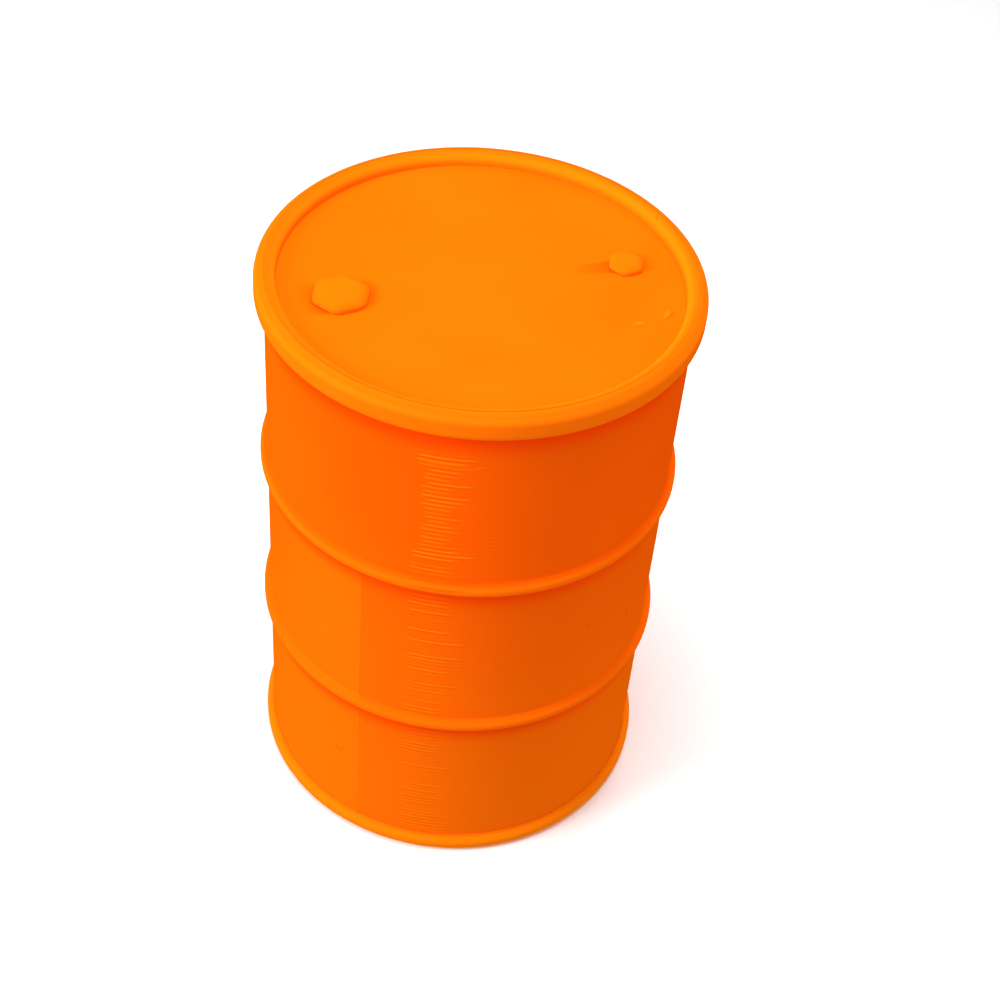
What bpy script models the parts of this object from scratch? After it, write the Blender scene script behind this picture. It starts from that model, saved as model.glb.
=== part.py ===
"""A 210 litre closed-head steel drum, painted orange for marking off a road.

The shell and the two heads are sheet steel, hooked together in a double seam at each end. A pressed
ring covers each seam. The top head holds two threaded flanges, each closed by a hexagonal plug.
Units are metres. The drum stands on z = 0, on the axis x = y = 0, and +Z is up.
"""

import math

import bmesh
import bpy
from mathutils import Matrix, Vector

# Drum as a whole
DRUM_HEIGHT = 0.884
SHEET = 0.0012
GAP = 0.0003
ROUND_STEPS = 40

# Shell, with two rolling hoops swaged out of the sheet
SHELL_INNER_RADIUS = 0.28575
SHELL_OUTER_RADIUS = SHELL_INNER_RADIUS + SHEET
SHELL_MID_RADIUS = SHELL_INNER_RADIUS + SHEET / 2
HOOP_RADIUS = 0.297
HOOP_HEIGHTS = (0.295, 0.5745)
HOOP_HALF_WIDTH = 0.010
HOOP_CREST_HALF_WIDTH = 0.0075
HOOP_CREST_FILLET = 0.006

# Double seam. Depths are measured from the end of the drum towards its middle.
HEAD_RECESS = 0.019
CHUCK_WALL_RADIUS = SHELL_INNER_RADIUS - GAP - SHEET / 2
HEAD_CORNER_FILLET = 0.004
COVER_HOOK_RADIUS = 0.2879
COVER_HOOK_END = 0.0095
BODY_HOOK_RADIUS = 0.2895
BODY_HOOK_TOP = 0.0062
BODY_HOOK_END = 0.0150
SEAM_WALL_RADIUS = 0.2920
SEAM_TOP = 0.0045
SEAM_FOOT = 0.0180
COMPOUND_RADII = (0.2904, 0.2911)
COMPOUND_DEPTHS = (0.0075, 0.0165)

# Chime rings, which cover the seams
RING_SHEET = 0.0015
RING_INNER_RADIUS = 0.271
RING_LIP_RADIUS = SHELL_OUTER_RADIUS + GAP + RING_SHEET / 2
TOP_RING = {"radius": 0.300, "shoulder": 0.0370, "waist": 0.0400, "lip_end": 0.0440, "fillet": 0.010}
BOTTOM_RING = {"radius": 0.298, "shoulder": 0.0215, "waist": 0.0235, "lip_end": 0.0275, "fillet": 0.007}
RING_CROWN_FILLET = 0.010
RING_INNER_FILLET = 0.009

# Closures. Heights are above the top head's upper face.
CLOSURES = {
    "pour": {
        "place": (-0.1806, -0.0594),
        "steps": 32,
        "hole": 0.0314,
        "bore": 0.0294,
        "neck": 0.0310,
        "lip": 0.0336,
        "barrel": 0.0330,
        "base": 0.0400,
        "barrel_foot": -0.0150,
        "seal_radii": (0.0298, 0.0334),
        "seal_thickness": 0.0020,
        "shank": 0.0290,
        "shank_bore": 0.0255,
        "shank_foot": -0.0125,
        "pocket": 0.0344,
        "hex_flats": 0.0720,
        "hex_corner": 0.0060,
        "hex_top": 0.0120,
    },
    "vent": {
        "place": (0.1917, 0.0588),
        "steps": 24,
        "hole": 0.0150,
        "bore": 0.0130,
        "neck": 0.0146,
        "lip": 0.0170,
        "barrel": 0.0160,
        "base": 0.0205,
        "barrel_foot": -0.0110,
        "seal_radii": (0.0134, 0.0168),
        "seal_thickness": 0.0015,
        "shank": 0.0126,
        "shank_bore": 0.0098,
        "shank_foot": -0.0095,
        "pocket": 0.0180,
        "hex_flats": 0.0460,
        "hex_corner": 0.0045,
        "hex_top": 0.0100,
    },
}
FLANGE_BASE_TOP = -0.0030
FLANGE_BASE_FOOT = -0.0070
FLANGE_LIP_TOP = 0.0015
FLANGE_SEAL_HEIGHTS = (-0.0027, -0.0015)
FLANGE_SEAL_INSET = 0.0010
HEX_FOOT = 0.0006
HEX_TURN = math.radians(27)
HEX_BEVEL = 0.0016
HEX_CROWN = 0.0030

ORANGE = (0.85, 0.098, 0.004, 1.0)
ZINC = (0.55, 0.56, 0.55, 1.0)
BLACK = (0.02, 0.02, 0.02, 1.0)
CREAM = (0.62, 0.55, 0.40, 1.0)


def material(name, colour, roughness, metallic):
    """A plain Principled material."""
    made = bpy.data.materials.new(name)
    made.use_nodes = True
    shader = made.node_tree.nodes["Principled BSDF"]
    shader.inputs["Base Color"].default_value = colour
    shader.inputs["Roughness"].default_value = roughness
    shader.inputs["Metallic"].default_value = metallic
    return made


def rounded_path(corners, arc_points):
    """The points of a path through (r, z) corners. A corner given as (r, z, fillet) becomes an arc."""
    points = []
    for index, corner in enumerate(corners):
        here = Vector(corner[:2])
        fillet = corner[2] if len(corner) > 2 else 0
        if not fillet:
            points.append(here)
            continue
        back = (Vector(corners[index - 1][:2]) - here).normalized()
        ahead = (Vector(corners[index + 1][:2]) - here).normalized()
        half_angle = back.angle(ahead) / 2
        reach = fillet / math.tan(half_angle)
        centre = here + (back + ahead).normalized() * fillet / math.sin(half_angle)
        start = here + back * reach - centre
        end = here + ahead * reach - centre
        sweep = start.angle_signed(end)
        for step in range(arc_points):
            turn = Matrix.Rotation(-sweep * step / (arc_points - 1), 2)
            points.append(centre + turn @ start)
    return points


def sheet_outline(path, thickness):
    """The closed outline of a sheet of this thickness whose middle line is the path."""
    sides = []
    for side in (1, -1):
        edge = []
        for index, point in enumerate(path):
            before = (point - path[index - 1]).normalized() if index else None
            after = (path[index + 1] - point).normalized() if index < len(path) - 1 else None
            before = before or after
            after = after or before
            middle = (before + after).normalized()
            normal = Vector((-middle.y, middle.x))
            stretch = 1 / max(middle.dot(before), 0.3)
            edge.append(point + normal * side * stretch * thickness / 2)
        sides.append(edge)
    return sides[0] + sides[1][::-1]


def turned(name, outline, steps, finish, place=(0, 0, 0)):
    """A solid made by turning a closed (r, z) outline round the vertical axis at place."""
    mesh = bpy.data.meshes.new(name)
    work = bmesh.new()
    corners = [work.verts.new((max(point[0], 0.0), 0.0, point[1])) for point in outline]
    edges = [work.edges.new((corners[i - 1], corners[i])) for i in range(len(corners))]
    on_axis = [edge for edge in edges if max(vertex.co.x for vertex in edge.verts) < 1e-9]
    turning = [edge for edge in edges if edge not in on_axis]
    bmesh.ops.spin(
        work,
        geom=corners + turning,
        cent=(0, 0, 0),
        axis=(0, 0, 1),
        angle=2 * math.pi,
        steps=steps,
        use_merge=True,
        use_duplicate=False,
    )
    bmesh.ops.remove_doubles(work, verts=work.verts, dist=1e-6)
    loose = [edge for edge in work.edges if not edge.link_faces]
    bmesh.ops.delete(work, geom=loose, context="EDGES")
    bmesh.ops.recalc_face_normals(work, faces=work.faces)
    work.to_mesh(mesh)
    work.free()
    return placed(name, mesh, finish, place)


def placed(name, mesh, finish, place):
    """An object of this mesh and material at place, shaded smooth between its sharp edges."""
    made = bpy.data.objects.new(name, mesh)
    bpy.context.scene.collection.objects.link(made)
    made.location = place
    mesh.materials.append(finish)
    mesh.shade_smooth()
    mesh.set_sharp_from_angle(angle=math.radians(30))
    return made


def from_end(points, top):
    """Turns (r, depth from an end, ...) points into (r, z, ...) points at the drum's top or bottom."""
    return [(p[0], DRUM_HEIGHT - p[1] if top else p[1], *p[2:]) for p in points]


def combine(target, tool, operation):
    """Cuts the tool from the target, or joins it on, and leaves the tool out of the model."""
    tool.hide_render = True
    tool.display_type = "WIRE"
    step = target.modifiers.new(operation.lower(), "BOOLEAN")
    step.operation = operation
    step.object = tool
    step.solver = "EXACT"


def make_shell(finish):
    """The rolled sheet: a body hook at each end and two rolling hoops between."""
    hook = [(BODY_HOOK_RADIUS, BODY_HOOK_END), (BODY_HOOK_RADIUS, BODY_HOOK_TOP), (SHELL_MID_RADIUS, BODY_HOOK_TOP)]
    crest_radius = HOOP_RADIUS - SHEET / 2
    corners = from_end(hook, top=False)
    for height in HOOP_HEIGHTS:
        corners += [
            (SHELL_MID_RADIUS, height - HOOP_HALF_WIDTH),
            (crest_radius, height - HOOP_CREST_HALF_WIDTH, HOOP_CREST_FILLET),
            (crest_radius, height + HOOP_CREST_HALF_WIDTH, HOOP_CREST_FILLET),
            (SHELL_MID_RADIUS, height + HOOP_HALF_WIDTH),
        ]
    corners += from_end(hook[::-1], top=True)
    return turned("shell", sheet_outline(rounded_path(corners, 2), SHEET), ROUND_STEPS, finish)


def make_head(name, top, finish):
    """A recessed disc whose edge rises as the chuck wall and folds over the shell's body hook."""
    panel_depth = HEAD_RECESS + SHEET / 2
    corners = [
        (0.0, panel_depth),
        (CHUCK_WALL_RADIUS, panel_depth, HEAD_CORNER_FILLET),
        (CHUCK_WALL_RADIUS, SEAM_TOP),
        (SEAM_WALL_RADIUS, SEAM_TOP),
        (SEAM_WALL_RADIUS, SEAM_FOOT),
        (COVER_HOOK_RADIUS, SEAM_FOOT),
        (COVER_HOOK_RADIUS, COVER_HOOK_END),
    ]
    outline = sheet_outline(rounded_path(from_end(corners, top), 2), SHEET)
    return turned(name, outline, ROUND_STEPS, finish)


def make_compound(name, top, finish):
    """The ring of sealing compound between the body hook and the head's outer seam wall."""
    inner, outer = COMPOUND_RADII
    near, far = COMPOUND_DEPTHS
    outline = from_end([(inner, near), (outer, near), (outer, far), (inner, far)], top)
    return turned(name, outline, ROUND_STEPS, finish)


def make_chime_ring(name, size, top, finish):
    """A pressed channel over the seam: its inner leg stands on the head, its lip is welded to the shell."""
    side_radius = size["radius"] - RING_SHEET / 2
    corners = [
        (RING_LIP_RADIUS, size["lip_end"]),
        (RING_LIP_RADIUS, size["waist"]),
        (side_radius, size["shoulder"], size["fillet"]),
        (side_radius, RING_SHEET / 2, RING_CROWN_FILLET),
        (RING_INNER_RADIUS + RING_SHEET / 2, RING_SHEET / 2, RING_INNER_FILLET),
        (RING_INNER_RADIUS + RING_SHEET / 2, HEAD_RECESS - GAP),
    ]
    outline = sheet_outline(rounded_path(from_end(corners, top), 3), RING_SHEET)
    return turned(name, outline, ROUND_STEPS, finish)


def hexagon_outline(flats, corner):
    """The points of a regular hexagon this far across its flats, with rounded corners."""
    points = []
    corner_centre = (flats / 2 - corner) / math.cos(math.pi / 6)
    arc_steps = 4
    for side in range(6):
        middle = side * math.pi / 3
        centre = Vector((math.cos(middle), math.sin(middle))) * corner_centre
        for step in range(arc_steps + 1):
            angle = middle - math.pi / 6 + math.pi / 3 * step / arc_steps
            points.append(centre + Vector((math.cos(angle), math.sin(angle))) * corner)
    return points


def make_hexagon_head(name, size, finish, place):
    """A hexagonal block with rounded corners and a bevelled upper edge."""
    mesh = bpy.data.meshes.new(name)
    work = bmesh.new()
    outline = hexagon_outline(size["hex_flats"], size["hex_corner"])
    foot = work.faces.new([work.verts.new((x, y, HEX_FOOT)) for x, y in outline])
    lifted = bmesh.ops.extrude_face_region(work, geom=[foot])["geom"]
    top_corners = [item for item in lifted if isinstance(item, bmesh.types.BMVert)]
    bmesh.ops.translate(work, verts=top_corners, vec=(0, 0, size["hex_top"] - HEX_FOOT))
    top_edges = [edge for edge in work.edges if all(vertex in top_corners for vertex in edge.verts)]
    bmesh.ops.bevel(work, geom=top_edges, offset=HEX_BEVEL, segments=2, profile=0.5, affect="EDGES")
    bmesh.ops.recalc_face_normals(work, faces=work.faces)
    work.to_mesh(mesh)
    work.free()
    made = placed(name, mesh, finish, place)
    made.rotation_euler.z = HEX_TURN
    return made


def make_plug(name, size, finish, place):
    """A hexagonal plug: a skirt that shrouds the seal and a hollow shank at its thread's pitch radius."""
    pocket_top = FLANGE_LIP_TOP + GAP + size["seal_thickness"] + GAP
    plug = make_hexagon_head(name, size, finish, place)
    below = HEX_FOOT - 0.002
    pocket = [(0.0, below), (size["pocket"], below), (size["pocket"], pocket_top), (0.0, pocket_top)]
    combine(plug, turned(name + "_pocket", pocket, size["steps"], finish, place), "DIFFERENCE")
    crown = size["hex_top"] - HEX_CROWN
    shank = [
        (0.0, crown),
        (size["shank_bore"], crown),
        (size["shank_bore"], size["shank_foot"]),
        (size["shank"], size["shank_foot"]),
        (size["shank"], size["hex_top"] - HEX_CROWN / 2),
        (0.0, size["hex_top"] - HEX_CROWN / 2),
    ]
    hollow = [(0.0, below), (size["shank_bore"], below), (size["shank_bore"], crown), (0.0, crown)]
    combine(plug, turned(name + "_hollow", hollow, size["steps"], finish, place), "DIFFERENCE")
    combine(plug, turned(name + "_shank", shank, size["steps"], finish, place), "UNION")
    return plug


def make_flange(name, size, finish, place):
    """A threaded flange: its base is under the head and its neck is rolled over as a lip above it."""
    outline = [
        (size["bore"], size["barrel_foot"]),
        (size["barrel"], size["barrel_foot"]),
        (size["barrel"], FLANGE_BASE_FOOT),
        (size["base"], FLANGE_BASE_FOOT),
        (size["base"], FLANGE_BASE_TOP),
        (size["neck"], FLANGE_BASE_TOP),
        (size["neck"], GAP),
        (size["lip"], GAP),
        (size["lip"], FLANGE_LIP_TOP),
        (size["bore"], FLANGE_LIP_TOP),
    ]
    return turned(name, outline, size["steps"], finish, place)


def make_seal(name, radii, heights, steps, finish, place):
    """A flat rubber ring."""
    inner, outer = radii
    low, high = heights
    return turned(name, [(inner, low), (outer, low), (outer, high), (inner, high)], steps, finish, place)


def make_closure(name, size, head, finishes):
    """The hole in the head and the flange, its seal, the plug and the plug's seal that close it."""
    place = (*size["place"], DRUM_HEIGHT - HEAD_RECESS)
    steps = size["steps"]
    cut_reach = 0.004
    hole = [(0.0, -cut_reach), (size["hole"], -cut_reach), (size["hole"], cut_reach), (0.0, cut_reach)]
    combine(head, turned(name + "_hole", hole, steps, finishes["paint"], place), "DIFFERENCE")
    make_flange(name + "_flange", size, finishes["zinc"], place)
    flange_seal_radii = (size["hole"] + GAP, size["base"] - FLANGE_SEAL_INSET)
    make_seal(name + "_flange_gasket", flange_seal_radii, FLANGE_SEAL_HEIGHTS, steps, finishes["rubber"], place)
    seal_foot = FLANGE_LIP_TOP + GAP
    seal_heights = (seal_foot, seal_foot + size["seal_thickness"])
    make_seal(name + "_plug_gasket", size["seal_radii"], seal_heights, steps, finishes["rubber"], place)
    make_plug(name + "_plug", size, finishes["paint"], place)


def main():
    """Builds the drum."""
    for old in list(bpy.data.objects):
        bpy.data.objects.remove(old)
    finishes = {
        "paint": material("orange_paint", ORANGE, 0.35, 0.0),
        "zinc": material("zinc_plate", ZINC, 0.40, 1.0),
        "rubber": material("black_rubber", BLACK, 0.75, 0.0),
        "compound": material("seam_compound", CREAM, 0.80, 0.0),
    }
    make_shell(finishes["paint"])
    top_head = make_head("top_head", True, finishes["paint"])
    make_head("bottom_head", False, finishes["paint"])
    make_compound("top_seam_compound", True, finishes["compound"])
    make_compound("bottom_seam_compound", False, finishes["compound"])
    make_chime_ring("top_chime_ring", TOP_RING, True, finishes["paint"])
    make_chime_ring("bottom_chime_ring", BOTTOM_RING, False, finishes["paint"])
    for name, size in CLOSURES.items():
        make_closure(name, size, top_head, finishes)


main()
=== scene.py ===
"""The looks of an orange closed-head steel drum: its fine shapes, finishes, light and camera.

The frame gives the drum's main sizes. Each sub-assembly turns its pieces as closed skins over rings of
points, dresses them, and sets them to ride on the frame's bodies. Units are metres and +Z is up.
"""

import logging
import math
from dataclasses import dataclass, field
from enum import Enum
from typing import Any

import bmesh
import bpy
import numpy as np
from mathutils import Matrix, Vector


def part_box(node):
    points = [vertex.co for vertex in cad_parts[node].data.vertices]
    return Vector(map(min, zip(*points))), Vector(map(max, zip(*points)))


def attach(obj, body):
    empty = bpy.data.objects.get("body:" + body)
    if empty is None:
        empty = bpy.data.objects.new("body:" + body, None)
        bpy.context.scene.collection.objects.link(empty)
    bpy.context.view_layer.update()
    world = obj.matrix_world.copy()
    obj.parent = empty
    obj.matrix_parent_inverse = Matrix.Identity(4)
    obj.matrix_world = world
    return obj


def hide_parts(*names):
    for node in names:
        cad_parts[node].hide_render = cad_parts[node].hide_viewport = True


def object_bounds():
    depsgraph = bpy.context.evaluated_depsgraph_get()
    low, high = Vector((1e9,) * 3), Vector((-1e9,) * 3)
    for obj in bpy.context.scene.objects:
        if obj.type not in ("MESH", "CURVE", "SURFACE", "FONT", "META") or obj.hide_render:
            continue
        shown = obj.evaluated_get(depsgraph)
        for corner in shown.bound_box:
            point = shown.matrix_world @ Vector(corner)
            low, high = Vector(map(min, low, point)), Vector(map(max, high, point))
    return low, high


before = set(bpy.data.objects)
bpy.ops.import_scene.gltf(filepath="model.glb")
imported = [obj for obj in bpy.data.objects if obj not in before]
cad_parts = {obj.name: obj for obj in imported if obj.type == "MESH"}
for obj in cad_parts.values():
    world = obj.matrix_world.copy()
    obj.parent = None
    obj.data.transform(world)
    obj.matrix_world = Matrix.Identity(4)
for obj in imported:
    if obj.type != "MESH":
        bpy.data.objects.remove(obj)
CAD_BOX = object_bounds()
LOG = logging.getLogger("drum")

Triple = tuple[float, float, float]
Colour = Triple
Span = tuple[float, float]

MILLIMETRE = 0.001
SAME_PLACE = 1e-7
SHARPEST_MITRE = 0.3  # the cosine of half a sheet's turn, beyond which its mitre stops growing
SHARP = math.radians(35)  # more than a fillet turns between two faces
CLOUDS = (0.35, 0.70)  # the noise at which a cloud begins, and at which it is full
OTHER_SEED = 400.0  # what is added to a seed for a second chance that doesn't follow the first


# --------------------------------------------------------------------------------------------------
# Shader expressions
# --------------------------------------------------------------------------------------------------


class Value:
    """A number that varies over a surface. Python's operators on it add Math nodes."""

    def __init__(self, graph: "Graph", socket: bpy.types.NodeSocket) -> None:
        """Wraps an output socket.

        Args:
            graph: The graph that the socket belongs to.
            socket: The socket that carries the number.
        """
        self.graph = graph
        self.socket = socket

    def math(self, operation: str, *operands: "Value | float", clamp: bool = False) -> "Value":
        """Adds a Math node on these operands.

        Args:
            operation: The node's operation.
            operands: Its inputs, in order.
            clamp: Whether the result is kept from 0 to 1.

        Returns:
            The node's result.
        """
        settings = {"operation": operation, "use_clamp": clamp}
        return self.graph.value("ShaderNodeMath", settings, dict(enumerate(operands)))

    def __add__(self, other: "Value | float") -> "Value":
        """The sum."""
        return self.math("ADD", self, other)

    def __radd__(self, other: float) -> "Value":
        """The sum, with the number first."""
        return self.math("ADD", other, self)

    def __sub__(self, other: "Value | float") -> "Value":
        """The difference."""
        return self.math("SUBTRACT", self, other)

    def __rsub__(self, other: float) -> "Value":
        """The difference, with the number first."""
        return self.math("SUBTRACT", other, self)

    def __mul__(self, other: "Value | float") -> "Value":
        """The product."""
        return self.math("MULTIPLY", self, other)

    def __rmul__(self, other: float) -> "Value":
        """The product, with the number first."""
        return self.math("MULTIPLY", other, self)

    def __truediv__(self, other: "Value | float") -> "Value":
        """The quotient."""
        return self.math("DIVIDE", self, other)

    def __pow__(self, other: float) -> "Value":
        """The power."""
        return self.math("POWER", self, other)

    def distance(self, other: "Value") -> "Value":
        """The distance from the axis, with this as the x and the other as the y."""
        return (self * self + other * other) ** 0.5

    def rounded_down(self) -> "Value":
        """The whole number at or below the number."""
        return self.math("FLOOR", self)

    def clamped(self) -> "Value":
        """The number, kept from 0 to 1."""
        return self.math("MULTIPLY", self, 1.0, clamp=True)

    def rise(self, low: float, high: float) -> "Value":
        """Adds a smooth step.

        Args:
            low: Where the step starts from 0.
            high: Where it reaches 1. Less than low, it falls instead.

        Returns:
            The step, from 0 to 1.
        """
        settings = {"interpolation_type": "SMOOTHSTEP"}
        sockets = {"Value": self, "From Min": low, "From Max": high}
        return self.graph.value("ShaderNodeMapRange", settings, sockets)

    def bell(self, centre: float, half_width: float) -> "Value":
        """Adds a smooth hump of height 1 round a centre.

        Args:
            centre: Where the hump stands.
            half_width: How far from it the hump ends.

        Returns:
            The hump, from 0 to 1.
        """
        away = self.math("ABSOLUTE", self - centre)
        return away.rise(half_width, 0.0)


class Graph:
    """The nodes of a material, or of the world."""

    def __init__(self, owner: "bpy.types.Material | bpy.types.World") -> None:
        """Turns the nodes on and finds the shader.

        Args:
            owner: The material or the world.
        """
        owner.use_nodes = True
        is_world = isinstance(owner, bpy.types.World)
        self.owner = owner
        self.tree = owner.node_tree
        self.shader = self.tree.nodes["Background" if is_world else "Principled BSDF"]
        coordinates = self.node("ShaderNodeTexCoord", {}, {})
        self.place = coordinates.outputs["Generated" if is_world else "Object"]

    def node(self, kind: str, settings: dict[str, Any], sockets: dict[Any, Any]) -> bpy.types.Node:
        """Adds a node.

        Args:
            kind: The node's type.
            settings: Its properties, which are set first.
            sockets: The value, Value or output socket of each input, by name or number.

        Returns:
            The node.
        """
        made = self.tree.nodes.new(kind)
        for key, value in settings.items():
            setattr(made, key, value)
        for key, value in sockets.items():
            self.plug(made.inputs[key], value)
        return made

    def plug(self, socket: bpy.types.NodeSocket, value: Any) -> None:
        """Links or sets an input.

        Args:
            socket: The input.
            value: The Value or the output socket to link, or the constant to set.
        """
        if isinstance(value, Value):
            self.tree.links.new(value.socket, socket)
        elif isinstance(value, bpy.types.NodeSocket):
            self.tree.links.new(value, socket)
        else:
            socket.default_value = value

    def value(self, kind: str, settings: dict[str, Any], sockets: dict[Any, Any]) -> Value:
        """Adds a node and gives its first output as a Value."""
        return Value(self, self.node(kind, settings, sockets).outputs[0])

    def xyz(self) -> tuple[Value, Value, Value]:
        """Splits the place on the drum, or the direction in the world.

        Returns:
            The x, the y and the z. A place is in metres.
        """
        split = self.node("ShaderNodeSeparateXYZ", {}, {"Vector": self.place})
        x, y, z = (Value(self, output) for output in split.outputs)
        return x, y, z

    def noise(self, size: float, detail: float = 2.0, stretch: Triple = (1, 1, 1)) -> Value:
        """Adds soft noise.

        Args:
            size: About the size of its blotches, in metres.
            detail: How many finer layers it has.
            stretch: How many times longer the blotches are along each axis.

        Returns:
            The noise, about 0 to 1 round 0.5.
        """
        scale = tuple(1 / (size * times) for times in stretch)
        settings = {"operation": "MULTIPLY"}
        spot = self.node("ShaderNodeVectorMath", settings, {0: self.place, 1: scale})
        sockets = {"Vector": spot.outputs[0], "Scale": 1.0, "Detail": detail}
        return self.value("ShaderNodeTexNoise", {"noise_dimensions": "3D"}, sockets)

    def chance(self, seed: Value) -> Value:
        """A number from 0 to 1 that is even within a seed and jumps between seeds."""
        return self.value("ShaderNodeTexWhiteNoise", {"noise_dimensions": "1D"}, {"W": seed})

    def mix(self, share: Value, first: Any, second: Any) -> bpy.types.NodeSocket:
        """Mixes two colours.

        Args:
            share: How much there is of the second, from 0 to 1.
            first: The first colour, a tuple or a socket.
            second: The second colour, a tuple or a socket.

        Returns:
            The mixed colour.
        """
        made = self.node("ShaderNodeMix", {"data_type": "RGBA"}, {"Factor": share})
        inputs = [socket for socket in made.inputs if socket.type == "RGBA"]
        for socket, colour in zip(inputs, (first, second)):
            self.plug(socket, (*colour, 1.0) if isinstance(colour, tuple) else colour)
        return next(output for output in made.outputs if output.type == "RGBA")

    def bump(self, height: Value) -> None:
        """Feeds the shader's normal.

        Args:
            height: The surface's height in millimetres.
        """
        sockets = {"Height": height, "Distance": MILLIMETRE, "Strength": 1.0}
        made = self.node("ShaderNodeBump", {}, sockets)
        self.plug(self.shader.inputs["Normal"], made.outputs["Normal"])

    def finish(self, **inputs: Any) -> "bpy.types.Material | bpy.types.World":
        """Sets the shader's inputs.

        Args:
            inputs: The value of each input, by its name with underscores for spaces.

        Returns:
            The material or the world.
        """
        for key, value in inputs.items():
            self.plug(self.shader.inputs[key.replace("_", " ")], value)
        return self.owner


# --------------------------------------------------------------------------------------------------
# Finishes
# --------------------------------------------------------------------------------------------------


@dataclass(frozen=True)
class Enamel:
    """Satin orange enamel.

    Attributes:
        name: The material's name.
        full: Its colour where the coat is full.
        thin: Its colour in the fine specks where the coat is thin.
        warm: Its colour in broad, lighter clouds.
        cloud_size: The size of a cloud.
        speck_size: The size of a speck.
        specks: The noise at which a speck begins, and at which it is full.
        speck_share: How thin the coat is in a speck.
        peel_size: The size of the dimples of its orange peel.
        peel_depth: Their depth, in millimetres.
        smoothest: Its lowest roughness.
        cloud_rough: How much rougher a cloud is.
        speck_rough: How much rougher a speck is.
    """

    name: str = "enamel"
    full: Colour = (0.98, 0.097, 0.0008)
    thin: Colour = (0.96, 0.088, 0.0006)
    warm: Colour = (0.985, 0.106, 0.0010)
    cloud_size: float = 0.24
    speck_size: float = 0.004
    specks: Span = (0.58, 0.82)
    speck_share: float = 0.25
    peel_size: float = 0.0030
    peel_depth: float = 0.012
    smoothest: float = 0.40
    cloud_rough: float = 0.10
    speck_rough: float = 0.05

    def material(self) -> bpy.types.Material:
        """Builds the enamel's nodes.

        Returns:
            The material.
        """
        graph = Graph(bpy.data.materials.new(self.name))
        cloud = graph.noise(self.cloud_size)
        speck = graph.noise(self.speck_size)
        colour = graph.mix(cloud.rise(*CLOUDS), self.full, self.warm)
        colour = graph.mix(speck.rise(*self.specks) * self.speck_share, colour, self.thin)
        height = graph.noise(self.peel_size, 1.0) * self.peel_depth
        colour, height = self._marks(graph, colour, height)
        graph.bump(height)
        rough = self.smoothest + cloud * self.cloud_rough + speck * self.speck_rough
        return graph.finish(Base_Color=colour, Roughness=rough, Specular_IOR_Level=0.0)

    def _marks(self, graph: Graph, colour: Any, height: Value) -> tuple[Any, Value]:
        """Adds what only some pieces show. A plain coat has nothing to add.

        Args:
            graph: The material's graph.
            colour: The coat's colour.
            height: The coat's height, in millimetres.

        Returns:
            The colour and the height with the marks.
        """
        return colour, height


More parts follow.
